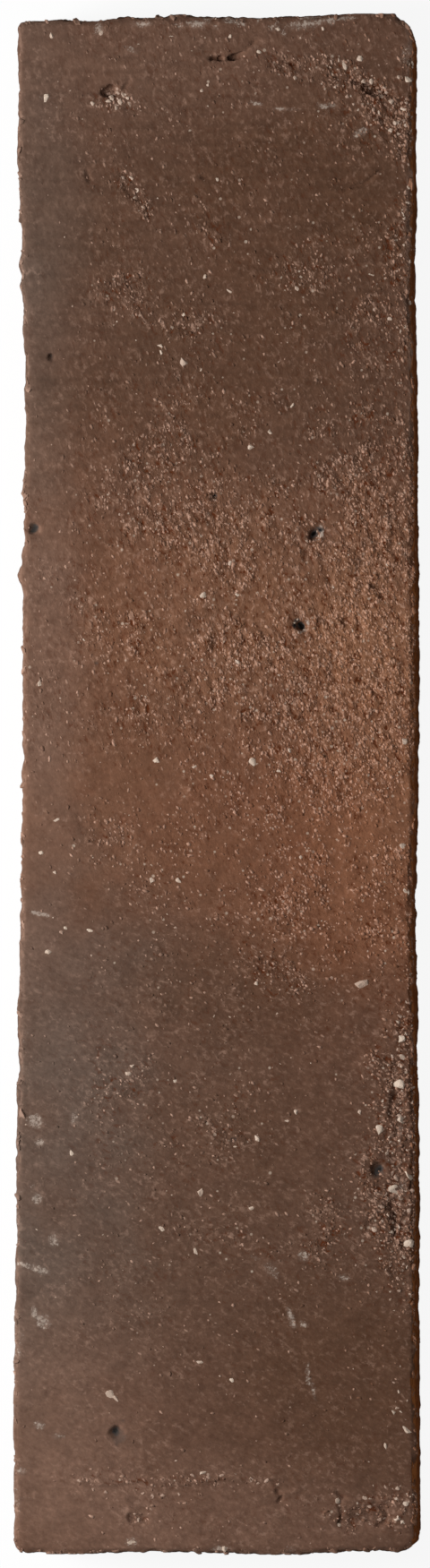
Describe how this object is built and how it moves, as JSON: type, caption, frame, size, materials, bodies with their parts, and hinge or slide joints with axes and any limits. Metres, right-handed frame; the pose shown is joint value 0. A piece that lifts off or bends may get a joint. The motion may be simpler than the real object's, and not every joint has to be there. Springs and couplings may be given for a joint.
{
  "type": "brick slip",
  "caption": "Thin rectangular slip of fired clay brick with a rough weathered stretcher face, worn edges and a flat sawn back, bonded to a wall as cladding.",
  "frame": {"origin": "middle of the sawn back, on the surface that the slip lies on", "axes": "+Z out of the weathered face, +Y along the length, +X across the height that the slip has in a wall"},
  "size_m": [0.0658, 0.25, 0.02],
  "materials": {
    "fired_clay": "matt brown fired clay with pale grit, dull grey bloom and small dark burnt spots"
  },
  "bodies": {
    "root": {"brick_slip": "fired_clay"}
  },
  "joints": []
}
